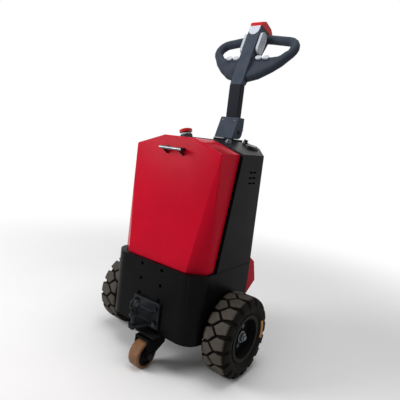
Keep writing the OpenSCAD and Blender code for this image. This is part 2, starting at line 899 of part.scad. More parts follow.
module paddle(side) {
    color(pale_plastic) placed()
        translate([side * head_w / 2, head_top[0], head_top[1]]) rotate([-head_lean, 0, 0])
            translate([0, paddle_back, -paddle_drop]) rotate([0, side * 90, 0]) {
                cylinder(r = 12, h = paddle_gap + 1);
                translate([0, 0, paddle_gap]) linear_extrude(paddle_t) slot(paddle_len, paddle_d);
            }
}

// Loop handle: each section of a half loop is a stadium, given by its place across and up the loop's
// own plane, the heading of the loop there and the half height of the section in the plane

loop_base = [tube_front + 27, neck_z + 20];
end_r = 45;
end_from = -53;
end_to = 80;
end_steps = 7;
end_mid = [loop_half - end_r, 180];
top_rise = 22;
ring_points = 16;

// across, up, heading, half height
wing_sections = [
    [head_w / 2, 76, 0, 62],
    [70, 84, 8, 54],
    [115, 104, 20, 38],
    [150, 123, 32, 25]
];
end_sections = [for (k = [0:end_steps])
    let (a = end_from + (end_to - end_from) * k / end_steps)
    [end_mid[0] + end_r * cos(a), end_mid[1] + end_r * sin(a), a + 90, bar_r]];
bar_sections = [
    [end_mid[0] / 2, end_mid[1] + end_r + top_rise * 0.7, 170, bar_r],
    [head_w / 2, end_mid[1] + end_r + top_rise, 180, bar_r]
];
loop_sections = concat(wing_sections, end_sections, bar_sections);

// Points round one section, from its place, heading and half height
function section_ring(s) = [for (k = [0:ring_points - 1])
    let (t = 360 * (k + 0.5) / ring_points,
         v = bar_r * cos(t) + (s[3] - bar_r) * sign(cos(t)))
    [s[0] - v * sin(s[2]), s[1] + v * cos(s[2]), bar_r * sin(t)]];

// Solid skin through a list of sections with flat ends
module loft(sections) {
    n = ring_points;
    last = (len(sections) - 1) * n;
    polyhedron(
        points = [for (s = sections) each section_ring(s)],
        faces = concat(
            [[for (k = [0:n - 1]) k]],
            [for (j = [0:len(sections) - 2]) for (k = [0:n - 1])
                [j * n + k, (j + 1) * n + k, (j + 1) * n + (k + 1) % n, j * n + (k + 1) % n]],
            [[for (k = [n - 1:-1:0]) last + k]]));
}

module in_loop_plane() {
    placed() translate([0, loop_base[0], loop_base[1]]) rotate([90 - loop_lean, 0, 0]) children();
}

module loop_handle() {
    color(moulding) in_loop_plane() both_sides() loft(loop_sections);
}

button_len = 30;
button_h = 18;
button_rise = 7;
button_up = 112;
button_xs = [57, 93];
wing_face = bar_r * cos(180 / ring_points);

module head_buttons() {
    color(pale_plastic) in_loop_plane() both_sides() for (x = button_xs)
        translate([x, button_up, wing_face]) linear_extrude(button_rise) slot(button_len, button_h);
}

tub_shell();
tower_shell();
rear_cover();
transaxle();
drive_motor();
battery();
coupling();
coupling_bolts();
caster_mount();
estop_base();
estop_collar();
estop_knob();
key_switch();
charge_gauge();
cable_gland();
tiller_mount();
hood_shell();
hood_grip();
hood_grip_posts();
tyre(-1);  // tyre_left
rim(-1);  // rim_left
hub(-1);  // hub_left
wheel_nuts(-1);  // wheel_nuts_left
tyre(1);  // tyre_right
rim(1);  // rim_right
hub(1);  // hub_right
wheel_nuts(1);  // wheel_nuts_right
caster_fork();
caster_axle();
caster_core();
caster_tread();
tow_pin();
tow_pin_ring();
pivot_pin();
pivot_cover();
tiller_tube();
tiller_head();
loop_handle();
belly_switch();
head_plate();
paddle(-1);  // paddle_left
paddle(1);  // paddle_right
head_buttons();
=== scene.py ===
"""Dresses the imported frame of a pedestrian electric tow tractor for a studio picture."""

import logging
import math
from dataclasses import dataclass, replace
from enum import Enum
from typing import Iterable, Sequence

import bmesh
import bpy
import numpy as np
from mathutils import Matrix, Vector
from mathutils.bvhtree import BVHTree


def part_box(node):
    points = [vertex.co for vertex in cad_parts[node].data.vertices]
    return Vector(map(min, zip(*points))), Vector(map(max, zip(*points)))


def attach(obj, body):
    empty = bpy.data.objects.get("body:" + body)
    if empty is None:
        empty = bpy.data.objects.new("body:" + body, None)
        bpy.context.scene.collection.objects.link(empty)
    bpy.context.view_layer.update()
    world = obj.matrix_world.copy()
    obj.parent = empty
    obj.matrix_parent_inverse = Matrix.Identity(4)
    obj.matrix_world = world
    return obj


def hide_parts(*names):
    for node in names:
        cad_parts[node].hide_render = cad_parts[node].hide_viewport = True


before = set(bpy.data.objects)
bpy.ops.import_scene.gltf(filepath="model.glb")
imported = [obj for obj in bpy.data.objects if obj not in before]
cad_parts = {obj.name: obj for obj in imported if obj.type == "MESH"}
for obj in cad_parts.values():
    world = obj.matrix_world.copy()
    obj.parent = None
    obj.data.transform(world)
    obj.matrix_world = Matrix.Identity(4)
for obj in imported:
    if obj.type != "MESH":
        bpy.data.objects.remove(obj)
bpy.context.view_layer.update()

Tree = bpy.types.NodeTree
Socket = bpy.types.NodeSocket
Piece = bpy.types.Object
EditMesh = bmesh.types.BMesh

LOG = logging.getLogger("tow_tractor")
MM = 0.001
# Fineness of the cloud patterns
CLOUD_DETAIL = 5.0
CLOUD_ROUGHNESS = 0.55
# Spans of a cloud's values, which gather round one half, over which gloss, tone and rubbing change
GLOSS_SPAN = (0.3, 0.7)
TONE_SPAN = (0.35, 0.65)
RUBBED_SPAN = (0.25, 0.6)
# Sockets of a colour Mix node: its share, its two colours and its result
SHARE, FIRST, SECOND, MIXED = 0, 6, 7, 2
# Shape of a bevel that is an arc, and faces round a turned piece
ROUND_PROFILE = 0.5
ROUND_STEPS = 24


def linear(hex_colour: str) -> tuple[float, float, float, float]:
    """Turns an sRGB hex colour to linear light.

    Args:
        hex_colour: Colour written as "#rrggbb".

    Returns:
        Linear red, green and blue with an alpha of one.
    """
    channels = [int(hex_colour[i:i + 2], 16) / 255 for i in (1, 3, 5)]
    red, green, blue = (c / 12.92 if c <= 0.04045 else ((c + 0.055) / 1.055) ** 2.4 for c in channels)
    return red, green, blue, 1.0


def add_node(tree: Tree, kind: str, settings: dict[str, object] | None = None,
             inputs: dict[str | int, object] | None = None) -> bpy.types.Node:
    """Adds a node to a shader tree with its settings and links.

    Args:
        tree: Tree that gets the node.
        kind: Blender's name of the node's type.
        settings: Properties of the node.
        inputs: Input sockets by name or number; an output socket is linked and any other value is set.

    Returns:
        The new node.
    """
    node = tree.nodes.new(kind)
    for key, value in (settings or {}).items():
        setattr(node, key, value)
    for key, value in (inputs or {}).items():
        if isinstance(value, Socket):
            tree.links.new(value, node.inputs[key])
        else:
            node.inputs[key].default_value = value
    return node


# Finishes


@dataclass(frozen=True)
class Finish:
    """Look of one real material: its two colours, gloss, grain and the dust it gathers near the floor."""

    name: str
    colour: str
    mottle: str
    mottle_mm: float
    roughness: float
    roughness_spread: float
    grain_mm: float
    grain_depth_mm: float
    metallic: float = 0.0
    specular: float = 0.3
    dust: str = "#7a6d5f"
    dust_top_mm: float = 0.0
    dust_share: float = 0.6
    dust_cloud: float = 0.6

    def material(self) -> bpy.types.Material:
        """Gives the material, made on first use."""
        return bpy.data.materials.get(self.name) or self.build()

    def build(self) -> bpy.types.Material:
        """Makes the material's shader tree.

        Returns:
            The new material.
        """
        material = bpy.data.materials.new(self.name)
        material.use_nodes = True
        tree = material.node_tree
        surface = tree.nodes["Principled BSDF"]
        surface.inputs["Metallic"].default_value = self.metallic
        surface.inputs["Specular IOR Level"].default_value = self.specular
        place = add_node(tree, "ShaderNodeTexCoord").outputs["Object"]
        cloud = self.noise(tree, place, self.mottle_mm)
        tree.links.new(self.paint(tree, place, cloud), surface.inputs["Base Color"])
        rough = add_node(tree, "ShaderNodeMapRange", inputs={
            "Value": cloud, "From Min": GLOSS_SPAN[0], "From Max": GLOSS_SPAN[1],
            "To Min": self.roughness - self.roughness_spread,
            "To Max": self.roughness + self.roughness_spread})
        tree.links.new(rough.outputs["Result"], surface.inputs["Roughness"])
        bump = add_node(tree, "ShaderNodeBump", inputs={
            "Strength": 1.0, "Distance": MM, "Height": self.relief(tree, place)})
        tree.links.new(bump.outputs["Normal"], surface.inputs["Normal"])
        return material

    def noise(self, tree: Tree, place: Socket, size_mm: float) -> Socket:
        """Adds a cloud pattern.

        Args:
            tree: Tree of the material.
            place: Coordinates in metres.
            size_mm: Size of one cloud in millimetres.

        Returns:
            Socket with values round one half.
        """
        return add_node(tree, "ShaderNodeTexNoise", inputs={
            "Vector": place, "Scale": 1 / (size_mm * MM), "Detail": CLOUD_DETAIL,
            "Roughness": CLOUD_ROUGHNESS}).outputs[0]

    def paint(self, tree: Tree, place: Socket, cloud: Socket) -> Socket:
        """Adds the colour: two tones in clouds, with dust that thins out upwards.

        Args:
            tree: Tree of the material.
            place: Coordinates in metres.
            cloud: Cloud pattern of the finish.

        Returns:
            Socket with the colour.
        """
        tone = add_node(tree, "ShaderNodeMapRange", inputs={
            "Value": cloud, "From Min": TONE_SPAN[0], "From Max": TONE_SPAN[1]})
        mixed = add_node(tree, "ShaderNodeMix", {"data_type": "RGBA"}, {
            SHARE: tone.outputs["Result"], FIRST: linear(self.colour),
            SECOND: linear(self.mottle)}).outputs[MIXED]
        if self.dust_top_mm == 0:
            return mixed
        height = add_node(tree, "ShaderNodeSeparateXYZ", inputs={0: place}).outputs["Z"]
        # The share is doubled, because the clouds that thin it out have a mean of one half.
        low = add_node(tree, "ShaderNodeMapRange", inputs={
            "Value": height, "From Min": self.dust_top_mm * MM, "From Max": 0.0,
            "To Max": 2 * self.dust_share})
        share = add_node(tree, "ShaderNodeMath", {"operation": "MULTIPLY"}, {
            0: low.outputs["Result"], 1: self.noise(tree, place, self.dust_cloud * self.mottle_mm)})
        return add_node(tree, "ShaderNodeMix", {"data_type": "RGBA"}, {
            SHARE: share.outputs[0], FIRST: mixed, SECOND: linear(self.dust)}).outputs[MIXED]

    def relief(self, tree: Tree, place: Socket) -> Socket:
        """Adds the grain's height in millimetres.

        Args:
            tree: Tree of the material.
            place: Coordinates in metres.

        Returns:
            Socket with the height.
        """
        grain = self.noise(tree, place, self.grain_mm)
        return add_node(tree, "ShaderNodeMath", {"operation": "MULTIPLY"}, {
            0: grain, 1: self.grain_depth_mm}).outputs[0]


@dataclass(frozen=True)
class TyreRubber(Finish):
    """Vulcanised rubber whose tread faces are rubbed pale by dust, with painted shade that darkens the
    grooves.
    """

    axle: tuple[float, float, float] = (0.0, 0.0, 0.0)
    tread: str = "#4d4842"
    tread_from_mm: float = 145.6
    tread_to_mm: float = 149.0
    tread_least: float = 0.65
    # Painted shade: from the shoulder outwards the rubber darkens to the groove colour
    shoulder_mm: float = 136.0
    groove: str = "#0d0c0b"
    ridge_mm: float = 8.0
    ridge_depth_mm: float = 0.8

    def radius(self, tree: Tree, place: Socket) -> Socket:
        """Adds the distance from the wheel's axle.

        Args:
            tree: Tree of the material.
            place: Coordinates in metres.

        Returns:
            Socket with the distance in metres.
        """
        arm = add_node(tree, "ShaderNodeVectorMath", {"operation": "SUBTRACT"}, {0: place, 1: self.axle})
        flat = add_node(tree, "ShaderNodeVectorMath", {"operation": "MULTIPLY"}, {
            0: arm.outputs["Vector"], 1: (0.0, 1.0, 1.0)})
        return add_node(tree, "ShaderNodeVectorMath", {"operation": "LENGTH"}, {
            0: flat.outputs["Vector"]}).outputs["Value"]

    def paint(self, tree: Tree, place: Socket, cloud: Socket) -> Socket:
        """Adds sidewall colour, painted shade in the grooves and tread colour by the distance from the axle.

        Args:
            tree: Tree of the material.
            place: Coordinates in metres.
            cloud: Cloud pattern of the finish.

        Returns:
            Socket with the colour.
        """
        wall = super().paint(tree, place, cloud)
        radius = self.radius(tree, place)
        # Painted shade: from the shoulder outwards the rubber grows darker, so that the grooves' walls and
        # floors are dark.
        groove_shade_share = add_node(tree, "ShaderNodeMapRange", inputs={
            "Value": radius, "From Min": self.shoulder_mm * MM, "From Max": self.tread_from_mm * MM})
        groove_shaded = add_node(tree, "ShaderNodeMix", {"data_type": "RGBA"}, {
            SHARE: groove_shade_share.outputs["Result"], FIRST: wall, SECOND: linear(self.groove)}).outputs[MIXED]
        on_tread = add_node(tree, "ShaderNodeMapRange", inputs={
            "Value": radius, "From Min": self.tread_from_mm * MM, "From Max": self.tread_to_mm * MM})
        rubbed = add_node(tree, "ShaderNodeMapRange", inputs={
            "Value": cloud, "From Min": RUBBED_SPAN[0], "From Max": RUBBED_SPAN[1],
            "To Min": self.tread_least})
        share = add_node(tree, "ShaderNodeMath", {"operation": "MULTIPLY"}, {
            0: on_tread.outputs["Result"], 1: rubbed.outputs["Result"]})
        return add_node(tree, "ShaderNodeMix", {"data_type": "RGBA"}, {
            SHARE: share.outputs[0], FIRST: groove_shaded, SECOND: linear(self.tread)}).outputs[MIXED]

    def relief(self, tree: Tree, place: Socket) -> Socket:
        """Adds the rubber's grain and the moulded rings of the sidewall, in millimetres.

        Args:
            tree: Tree of the material.
            place: Coordinates in metres.

        Returns:
            Socket with the height.
        """
        radius = self.radius(tree, place)
        turns = add_node(tree, "ShaderNodeMath", {"operation": "MULTIPLY"}, {
            0: radius, 1: 2 * math.pi / (self.ridge_mm * MM)})
        wave = add_node(tree, "ShaderNodeMath", {"operation": "SINE"}, {0: turns.outputs[0]})
        on_wall = add_node(tree, "ShaderNodeMapRange", inputs={
            "Value": radius, "From Min": (self.shoulder_mm - self.ridge_mm) * MM,
            "From Max": (self.shoulder_mm - 2 * self.ridge_mm) * MM, "To Max": self.ridge_depth_mm})
        rings = add_node(tree, "ShaderNodeMath", {"operation": "MULTIPLY"}, {
            0: wave.outputs[0], 1: on_wall.outputs["Result"]})
        return add_node(tree, "ShaderNodeMath", {"operation": "ADD"}, {
            0: rings.outputs[0], 1: super().relief(tree, place)}).outputs[0]


# Powder-coated sheet steel, sprayed and baked: a deep even red that shines only at a slant, with a soft peel.
# The peel of about 2 mm is drawn 9 mm wide, because finer waves don't show in the picture.
RED_COAT = Finish("powder_coated_steel_red", "#b80d26", "#ae0b23", 140, 0.26, 0.04, 9, 0.03, specular=0.035)
# Powder-coated sheet steel in satin black: a fine tooth that spreads the highlights, dusty near the floor.
BLACK_COAT = Finish("powder_coated_steel_black", "#060607", "#0a0a0b", 90, 0.38, 0.06, 3, 0.04,
                    specular=0.055, dust="#1d1a17", dust_top_mm=220, dust_share=0.12)
# The same coat on the coupling, where chains and eyes have rubbed it to blue-grey steel.
RUBBED_COAT = Finish("rubbed_black_steel", "#191c22", "#0d0e12", 22, 0.42, 0.1, 4, 0.12, metallic=0.2,
                     specular=0.2, dust="#2f2a25", dust_top_mm=260, dust_share=0.2)
# Painted cast iron: sand-cast grain under thin black paint.
CASTING = Finish("painted_cast_iron", "#0b0b0c", "#131314", 30, 0.6, 0.08, 3, 0.25, specular=0.09,
                 dust="#231f1b", dust_top_mm=320, dust_share=0.3)
# Phosphated steel of the coupling's bolts and the caster's axle: dark metal that glints at its rims.
PHOSPHATED = Finish("phosphated_steel", "#3d4148", "#2a2e34", 12, 0.35, 0.1, 3, 0.05, metallic=1.0)
# Zinc-plated steel of nuts, screws and the key switch: pale grey metal with cloudy gloss.
ZINC = Finish("zinc_plated_steel", "#74787d", "#4d5156", 14, 0.4, 0.1, 3, 0.03, metallic=1.0)
# Chromed steel that has been handled for years: a bright mirror with hazing.
CHROME = Finish("chromed_steel", "#6f7276", "#5d6064", 25, 0.22, 0.05, 6, 0.01, metallic=1.0)
# Cast polyurethane of the caster's tread: tan, slightly waxy, darkened where it rolls.
POLYURETHANE = Finish("cast_polyurethane", "#8a5c3d", "#725036", 18, 0.55, 0.08, 4, 0.15, specular=0.12,
                      dust="#5f5045", dust_top_mm=120, dust_share=0.5)
# ABS moulded in a spark-eroded tool: charcoal with a fine even grain.
# Its grain of under 1 mm is drawn 2.5 mm wide, because finer grain doesn't show in the picture.
CHARCOAL_ABS = Finish("textured_abs_charcoal", "#3a414c", "#424954", 60, 0.5, 0.05, 2.5, 0.09, specular=0.05)
# Charcoal moulding of the loop, drawn darker and duller than the head it grows from; the darker colour is
# painted shade.
LOOP_SHADED_ABS = Finish("charcoal_abs_loop_painted_shade", "#31363f", "#383e48", 45, 0.58, 0.05, 2.5, 0.09, specular=0.05)
# Black-painted steel tube of the tiller: darker and smoother than the mouldings it joins.
TUBE_COAT = Finish("painted_steel_tube", "#1a1c24", "#20222b", 50, 0.42, 0.05, 3, 0.04, specular=0.04)
# ABS moulded smooth in pale grey for what the hand finds: paddles and buttons.
PALE_ABS = Finish("abs_pale_grey", "#b3b9c0", "#a9afb6", 30, 0.38, 0.05, 3, 0.03)
# The same pale plastic drawn lighter, nearly white, on the head's front plate and the stop button's collar:
# the lighter colour is painted light.
LIT_PLATE_ABS = Finish("abs_pale_grey_painted_light", "#c2c8d2", "#b9bfca", 30, 0.35, 0.05, 3, 0.03)
# ABS moulded smooth and signal red, with a higher gloss than the sheet metal.
RED_ABS = Finish("abs_signal_red", "#c01d1e", "#b0191b", 40, 0.3, 0.05, 4, 0.03, specular=0.14)
# Polycarbonate in gloss black for the gauge, the gland and what carries the handle and the stop button.
BLACK_PC = Finish("polycarbonate_black", "#0f1011", "#151618", 25, 0.3, 0.06, 3, 0.04)
# Painted steel tray of the traction battery, dull grey.
TRAY_COAT = Finish("painted_steel_tray", "#2b2e33", "#353940", 50, 0.55, 0.06, 4, 0.08)
# Moulded black rubber of the tiller's boot and the seals on the tub's rim: dull, with next to no shine.
BOOT_RUBBER = Finish("boot_rubber_black", "#0e0e0f", "#151516", 12, 0.75, 0.06, 3, 0.15, specular=0.1)
# Paint stripe on a tyre's sidewall: dull orange over rubber.
MARK_PAINT = Finish("tyre_marking_paint", "#c08a55", "#a67446", 8, 0.6, 0.05, 3, 0.1, specular=0.1)
# Vulcanised rubber of a drive tyre: nearly black and dull, with blocks that the floor rubs to dusty brown and
# painted shade in the grooves.
# Each wheel gives it a name and an axle of its own.
TYRE_RUBBER = TyreRubber("tyre_rubber", "#12110f", "#1a1815", 26, 0.72, 0.06, 3, 0.15, specular=0.06)
# Matt floor paint in pale grey: no gloss to speak of, so that it keeps a soft shadow.
FLOOR_PAINT = Finish("pale_floor_paint", "#f4f4f4", "#f1f1f1", 900, 0.8, 0.03, 12, 0.02)


# Meshes


def new_object(name: str, mesh: EditMesh, finish: Finish) -> Piece:
    """Turns an edit mesh into a scene object with one material.

    Args:
        name: Name of the piece.
        mesh: Edit mesh in metres; it is freed here.
        finish: Finish of the piece.

    Returns:
        The new object, linked to the scene.
    """
    data = bpy.data.meshes.new(name)
    mesh.to_mesh(data)
    mesh.free()
    data.materials.append(finish.material())
    piece = bpy.data.objects.new(name, data)
    bpy.context.scene.collection.objects.link(piece)
    return piece


def smooth(piece: Piece, crease_deg: float) -> None:
    """Shades a piece smooth except across its sharp edges.

    Args:
        piece: Piece to shade.
        crease_deg: Angle from which an edge stays sharp.
    """
    for polygon in piece.data.polygons:
        polygon.use_smooth = True
    piece.data.set_sharp_from_angle(angle=math.radians(crease_deg))
    weighted = piece.modifiers.new("even_normals", "WEIGHTED_NORMAL")
    weighted.keep_sharp = True


def strip_width(face: bmesh.types.BMFace) -> float:
    """Gives the mean width of a long face in metres."""
    return 2 * face.calc_area() / face.calc_perimeter()


def lathe(mesh: EditMesh, profile: Sequence[tuple[float, float]], place: Matrix,
          steps: int = ROUND_STEPS) -> None:
    """Adds a turned solid to a mesh.

    Args:
        mesh: Mesh that gets the solid.
        profile: Pairs of radius and height along the axis, from the middle of the top to the foot.
        place: Matrix that takes the axis, +Z, to where the solid stands.
        steps: Number of faces round the axis.
    """
    rings: list[list[bmesh.types.BMVert]] = []
    for radius, height in profile:
        count = steps if radius > 0 else 1
        angles = [2 * math.pi * k / steps for k in range(count)]
        rings.append([mesh.verts.new(place @ Vector((radius * math.cos(a), radius * math.sin(a), height)))
                      for a in angles])
    for upper, lower in zip(rings, rings[1:]):
        for k in range(steps):
            ring = [upper[k % len(upper)], lower[k % len(lower)],
                    lower[(k + 1) % len(lower)], upper[(k + 1) % len(upper)]]
            mesh.faces.new(list(dict.fromkeys(ring)))
    mesh.faces.new(list(reversed(rings[-1])))


@dataclass(frozen=True)
class Turned:
    """Turned or six-sided piece with a chamfered rim, in millimetres along its axis."""

    radius: float
    foot: float
    top: float
    chamfer: float
    steps: int = ROUND_STEPS

    def add_to(self, mesh: EditMesh, place: Matrix) -> None:
        """Adds the piece to a mesh.

        Args:
            mesh: Mesh that gets the piece.
            place: Matrix that takes the axis, +Z, to where the piece stands.
        """
        profile = [(0, self.top), (self.radius - self.chamfer, self.top),
                   (self.radius, self.top - self.chamfer), (self.radius, self.foot)]
        lathe(mesh, [(radius * MM, height * MM) for radius, height in profile], place, self.steps)


def ramp(value: np.ndarray, start: float, stop: float) -> np.ndarray:
    """Rises smoothly from 0 at start to 1 at stop."""
    share = np.clip((value - start) / (stop - start), 0.0, 1.0)
    return share * share * (3 - 2 * share)


@dataclass(frozen=True)
class Tread:
    """Worn tread of an industrial tyre, in millimetres.

    Two staggered rows of blocks lie beside a zigzag groove, and from each of its bends a slanted groove runs
    out over the shoulder, where it opens to a wide mouth.
    """

    blocks: int = 17
    steps_per_block: int = 36
    # Reach of the zigzag to either side of its middle line, and the first leg's share of a block's length
    zigzag: float = 12.5
    first_leg: float = 0.52
    slant_deg: float = -9.0
    # Shift of the pattern round the wheel, and of the zigzag's middle line towards the machine
    phase: float = 11.5
    inward: float = 6.5
    # Width of a groove, and of its mouth at the end of its run
    groove: float = 6.5
    mouth: float = 21.0
    run_out: float = 70.0
    depth: float = 11.0
    # Where a block's rounded edge starts and ends, measured from the groove's wall
    edge: tuple[float, float] = (-1.2, 1.8)
    # Wear of the walls: its depth, and its wave lengths over two pi along and across the tread
    ragged: float = 0.7
    ragged_wave: tuple[float, float] = (3.1, 3.7)
    # Distances from the axle between which the grooves run out on the sidewall
    fade: tuple[float, float] = (117.0, 128.0)
    section_steps: int = 72
    # Section from the crown to the bead: drop below the crown, inset from the side
    section: tuple[tuple[float, float], ...] = (
        (0, 55), (0, 25), (2.5, 13), (9, 5), (22, 1), (34, 0), (44, 1), (62, 13), (70, 13))

    def outline(self, crown: float, half: float) -> tuple[np.ndarray, np.ndarray]:
        """Gives the rounded section from bead to bead.

        Args:
            crown: Radius of the tyre.
            half: Half of the tyre's width.

        Returns:
            Distances from the axle and from the wheel's middle plane.
        """
        right = [(crown - drop, half - inset) for drop, inset in self.section]
        points = np.array([(r, -u) for r, u in reversed(right)] + right[1:])
        length = np.concatenate([[0], np.cumsum(np.hypot(*np.diff(points, axis=0).T))])
        at = np.linspace(0, length[-1], self.section_steps)
        radius, across = (np.interp(at, length, points[:, k]) for k in (0, 1))
        # Rounds the corners of the section
        for line in (radius, across):
            line[1:-1] = (line[:-2] + 2 * line[1:-1] + line[2:]) / 4
        return radius, across

    def to_groove(self, along: np.ndarray, across: np.ndarray, crown: float) -> np.ndarray:
        """Gives the distance from the wall of the nearest groove, negative inside it.

        Args:
            along: Distances round the crown.
            across: Distances from the zigzag's middle line.
            crown: Radius of the tyre.

        Returns:
            Distances with the shape of the inputs.
        """
        pitch = 2 * math.pi * crown / self.blocks
        lean = (self.run_out - self.zigzag) * math.tan(math.radians(self.slant_deg))
        nearest = np.full(along.shape, pitch)
        # Grooves of the neighbouring blocks reach into this one
        for k in range(-1, 3):
            bend, turn = k * pitch, (k + self.first_leg) * pitch
            for start, stop, widen in (
                    ((bend, self.zigzag), (turn, -self.zigzag), 0),
                    ((turn, -self.zigzag), (bend + pitch, self.zigzag), 0),
                    ((bend, self.zigzag), (bend + lean, self.run_out), 1),
                    ((turn, -self.zigzag), (turn - lean, -self.run_out), 1)):
                leg = np.subtract(stop, start)
                ahead, aside = along - start[0], across - start[1]
                share = np.clip((ahead * leg[0] + aside * leg[1]) / (leg @ leg), 0, 1)
                gap = np.hypot(ahead - share * leg[0], aside - share * leg[1])
                width = self.groove + widen * (self.mouth - self.groove) * share
                nearest = np.minimum(nearest, gap - width / 2)
        wave_along, wave_across = self.ragged_wave
        return nearest + self.ragged * np.sin(along / wave_along) * np.cos(across / wave_across)

    def mesh(self, crown: float, half: float, middle: Vector, out: float) -> EditMesh:
        """Makes the tyre.

        Args:
            crown: Radius of the tyre.
            half: Half of the tyre's width.
            middle: Middle of the wheel in metres.
            out: 1 for the right wheel and -1 for its mirror image.

        Returns:
            Closed mesh in metres.
        """
        radius, across = self.outline(crown, half)
        tangent = np.stack([np.gradient(radius), np.gradient(across)])
        normal = np.stack([tangent[1], -tangent[0]]) / np.hypot(*tangent)
        count = self.blocks * self.steps_per_block
        angle = np.arange(count) * 2 * math.pi / count
        pitch = 2 * math.pi * crown / self.blocks
        along = np.broadcast_to(((angle * crown - self.phase) % pitch)[:, None], (count, len(radius)))
        wall = self.to_groove(along, np.broadcast_to(across + self.inward, along.shape), crown)
        sink = (1 - ramp(wall, *self.edge)) * self.depth * ramp(radius, *self.fade)
        reach, offset = radius - normal[0] * sink, across - normal[1] * sink
        places = np.stack([middle.x + out * offset * MM,
                           middle.y - reach * np.cos(angle)[:, None] * MM,
                           middle.z - reach * np.sin(angle)[:, None] * MM], axis=-1)
        mesh = bmesh.new()
        rings = [[mesh.verts.new(place) for place in ring] for ring in places.tolist()]
        for ring, following in zip(rings, rings[1:] + rings[:1]):
            for k in range(len(ring)):
                n = (k + 1) % len(ring)
                mesh.faces.new((ring[k], ring[n], following[n], following[k]))
        bmesh.ops.recalc_face_normals(mesh, faces=mesh.faces[:])
        return mesh


# Sub-assemblies


class Side(Enum):
    """Side of the machine, as someone who faces the coupling sees it."""

    LEFT = "left"
    RIGHT = "right"

    @property
    def sign(self) -> int:
        """Gives the sign of X on this side."""
        return 1 if self is Side.RIGHT else -1


@dataclass
class SubAssembly:
    """Pieces that ride on one CAD body and are dressed together."""

    body: str
    # Points closer than this are joined, and faces that turn less than this become one
    weld_mm: float = 0.02
    flat_deg: float = 0.6
    # Turns from which folds between large faces, and edges of narrow ones, are rounded
    fold_deg: float = 9.0
    rim_fold_deg: float = 45.0
    # Widest face that is an edge of the sheet, apart from its two rounds
    rim_mm: float = 2.5
    bevel_steps: int = 3
    crease_deg: float = 38.0
    facing_cosine: float = 0.9
    hollow_rim_mm: float = 5.0
    hollow_depth_mm: float = 3.0

    def paint(self, finish: Finish, nodes: Iterable[str]) -> None:
        """Gives CAD nodes a finish.

        Args:
            finish: Finish of the nodes.
            nodes: Names of the nodes.
        """
        for name in nodes:
            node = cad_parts[name]
            if not node.material_slots:
                node.data.materials.append(None)
            for slot in node.material_slots:
                slot.material = finish.material()
            LOG.info("%s: painted %s with %s", self.body, name, finish.name)

    def add(self, piece: Piece) -> Piece:
        """Lets a piece ride on the body and reports it.

        Args:
            piece: Piece in its place at rest.

        Returns:
            The same piece.
        """
        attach(piece, self.body)
        LOG.info("%s: added %s", self.body, piece.name)
        return piece

    def place(self, name: str, mesh: EditMesh, finish: Finish, slot: str,
              node: str | None = None) -> None:
        """Turns an edit mesh into a smoothly shaded piece that rides on the body.

        Args:
            name: Name of the piece.
            mesh: Edit mesh in metres; it is freed here.
            finish: Finish of the piece.
            slot: Material slot of the record; not used.
            node: Name of the CAD node that the piece stands in for, where there is one.
        """
        piece = new_object(name, mesh, finish)
        smooth(piece, self.crease_deg)
        if node:
            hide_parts(node)
        self.add(piece)

    def bevel(self, mesh: EditMesh, edges: Iterable[bmesh.types.BMEdge], size_mm: float) -> None:
        """Rounds those edges of a mesh that earlier steps have left in it.

        Args:
            mesh: Mesh of the piece.
            edges: Edges to round.
            size_mm: Radius of the round.
        """
        live = [edge for edge in edges if edge.is_valid]
        if live:
            bmesh.ops.bevel(mesh, geom=live, offset=size_mm * MM, offset_type="OFFSET", profile=ROUND_PROFILE,
                            segments=self.bevel_steps, affect="EDGES", clamp_overlap=True)

    def hollow(self, mesh: EditMesh, side: Vector) -> None:
        """Presses a hollow for the thumb into the largest face that looks to one side.

        Args:
            mesh: Mesh of the control.
            side: Direction that the face looks to.
        """
        facing = [face for face in mesh.faces if face.normal.dot(side) > self.facing_cosine]
        largest = max(facing, key=lambda face: face.calc_area())
        bmesh.ops.inset_region(mesh, faces=[largest], thickness=self.hollow_rim_mm * MM,
                               depth=-self.hollow_depth_mm * MM, use_even_offset=True)

    def sharp_edges(self, mesh: EditMesh,
                    edge_mm: float) -> tuple[list[bmesh.types.BMEdge], list[bmesh.types.BMEdge]]:
        """Finds the edges of a sheet-metal or moulded piece that want rounding.

        Args:
            mesh: Mesh of the piece.
            edge_mm: Radius of the edges of the sheet.

        Returns:
            Edges along the narrow faces of the sheet, and folds between large faces.
        """
        narrow = {face for face in mesh.faces if strip_width(face) < 2 * edge_mm * MM + self.rim_mm * MM}
        folds, rims = [], []
        for edge in mesh.edges:
            turn = edge.calc_face_angle(0.0)
            if any(face in narrow for face in edge.link_faces):
                if turn > math.radians(self.rim_fold_deg):
                    rims.append(edge)
            elif turn > math.radians(self.fold_deg):
                folds.append(edge)
        return rims, folds

    def soften(self, node: str, finish: Finish, slot: str, fold_mm: float, edge_mm: float,
               hollow_side: Vector | None = None) -> None:
        """Stands a copy with rounded folds and edges in for a sharp-edged CAD node.

        Args:
            node: Name of the CAD node.
            finish: Finish of the copy.
            slot: Material slot of the record.
            fold_mm: Radius of the folds between large faces.
            edge_mm: Radius of the edges of the sheet.
            hollow_side: Direction of the face that gets a hollow for the thumb, where there is one.
        """
        mesh = bmesh.new()
        mesh.from_mesh(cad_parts[node].data)
        bmesh.ops.remove_doubles(mesh, verts=mesh.verts[:], dist=self.weld_mm * MM)
        bmesh.ops.dissolve_limit(mesh, angle_limit=math.radians(self.flat_deg),
                                 verts=mesh.verts[:], edges=mesh.edges[:])
        if hollow_side:
            self.hollow(mesh, hollow_side)
        rims, folds = self.sharp_edges(mesh, edge_mm)
        self.bevel(mesh, rims, edge_mm)
        self.bevel(mesh, folds, fold_mm)
        self.place(f"{node}_formed", mesh, finish, slot, node)


